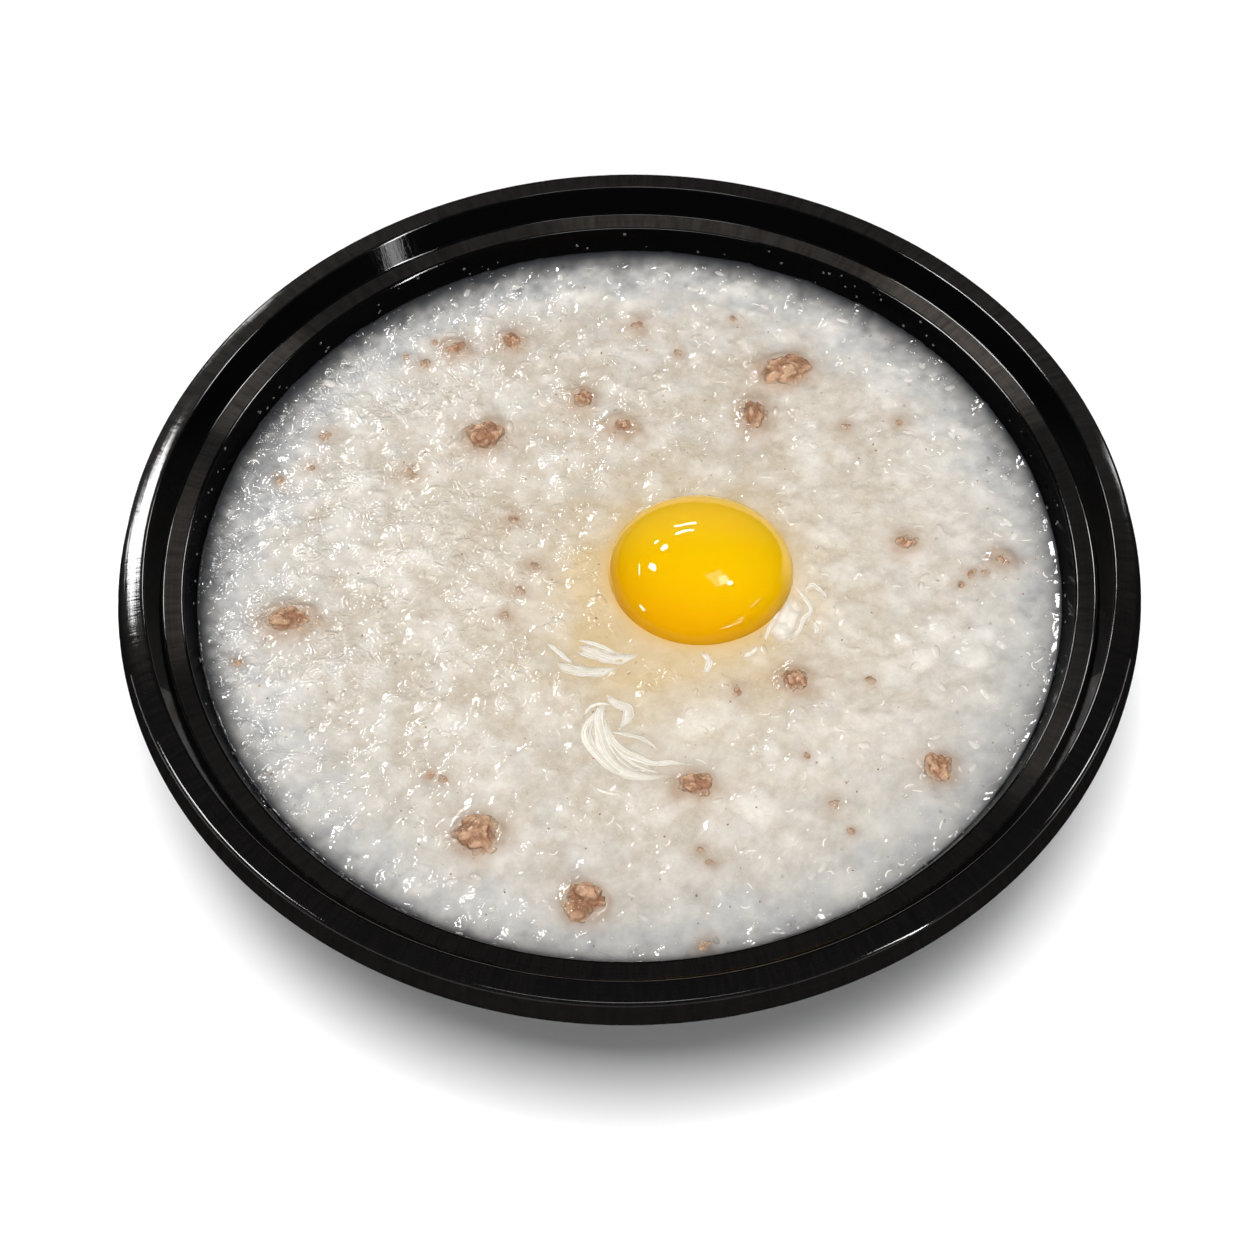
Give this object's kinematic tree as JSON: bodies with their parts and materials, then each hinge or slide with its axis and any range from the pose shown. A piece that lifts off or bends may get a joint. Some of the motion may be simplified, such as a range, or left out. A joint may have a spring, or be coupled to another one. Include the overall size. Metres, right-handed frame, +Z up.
{
  "type": "congee bowl",
  "caption": "Round black takeaway bowl with a stepped rim, filled with rice congee, a raw egg yolk, wisps of egg white and minced pork crumbs.",
  "frame": {"origin": "middle of the base, on the surface that the foot ring stands on", "axes": "+Z up along the bowl's turning axis, out of its mouth; -Y is the side of the bowl nearest to a person looking at it, +X to their right"},
  "size_m": [0.19, 0.19, 0.0564],
  "materials": {
    "black_plastic": "glossy moulded polypropylene with fine turning lines",
    "rice_congee": "wet, translucent grey-white porridge of broken rice",
    "egg_yolk": "wet and very glossy",
    "egg_white": "wet, just set, cream white",
    "minced_pork": "cooked minced meat, moist"
  },
  "bodies": {
    "root": {"bowl": "black_plastic", "congee": "rice_congee", "egg_yolk": "egg_yolk", "egg_white_curl": "egg_white", "egg_white_tongue": "egg_white", "egg_white_frill": "egg_white", "pork_crumb_01": "minced_pork", "pork_crumb_02": "minced_pork", "pork_crumb_03": "minced_pork", "pork_crumb_04": "minced_pork", "pork_crumb_05": "minced_pork", "pork_crumb_06": "minced_pork", "pork_crumb_07": "minced_pork", "pork_crumb_08": "minced_pork", "pork_crumb_09": "minced_pork", "pork_crumb_10": "minced_pork", "pork_crumb_11": "minced_pork", "pork_crumb_12": "minced_pork", "pork_crumb_13": "minced_pork", "pork_crumb_14": "minced_pork", "pork_crumb_15": "minced_pork"}
  },
  "joints": []
}
